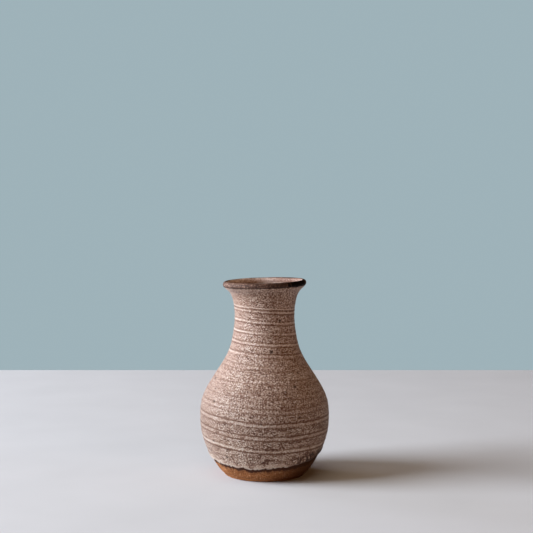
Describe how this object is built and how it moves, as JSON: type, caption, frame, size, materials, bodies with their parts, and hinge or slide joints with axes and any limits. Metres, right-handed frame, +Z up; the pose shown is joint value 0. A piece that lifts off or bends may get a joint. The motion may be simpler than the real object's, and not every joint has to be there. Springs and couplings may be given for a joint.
{
  "type": "stoneware vase",
  "caption": "Wheel-thrown stoneware vase with a round belly, a waisted neck, a flared dark lip, a speckled matte glaze with spiral throwing lines, and a bare clay foot.",
  "frame": {"origin": "centre of the flat foot, on the surface the vase stands on", "axes": "+Z up along the turning axis; the lip stands 0.8 mm above its mean height towards +X; -Y is the side shown in the picture"},
  "size_m": [0.0998, 0.0998, 0.1508],
  "materials": {
    "bare_clay": "unglazed toasted orange-brown stoneware, dry and fine grained",
    "speckled_glaze": "matte to satin oatmeal glaze, cream mottle over brown with sparse dark iron specks",
    "iron_lip": "glaze broken thin over iron, uneven dark brown with near-black patches",
    "liner_glaze": "satin pinkish brown liner glaze with faint turning rings"
  },
  "bodies": {
    "root": {"clay_body": "bare_clay", "outer_glaze": "speckled_glaze", "lip_band": "iron_lip", "liner_glaze": "liner_glaze"}
  },
  "joints": []
}
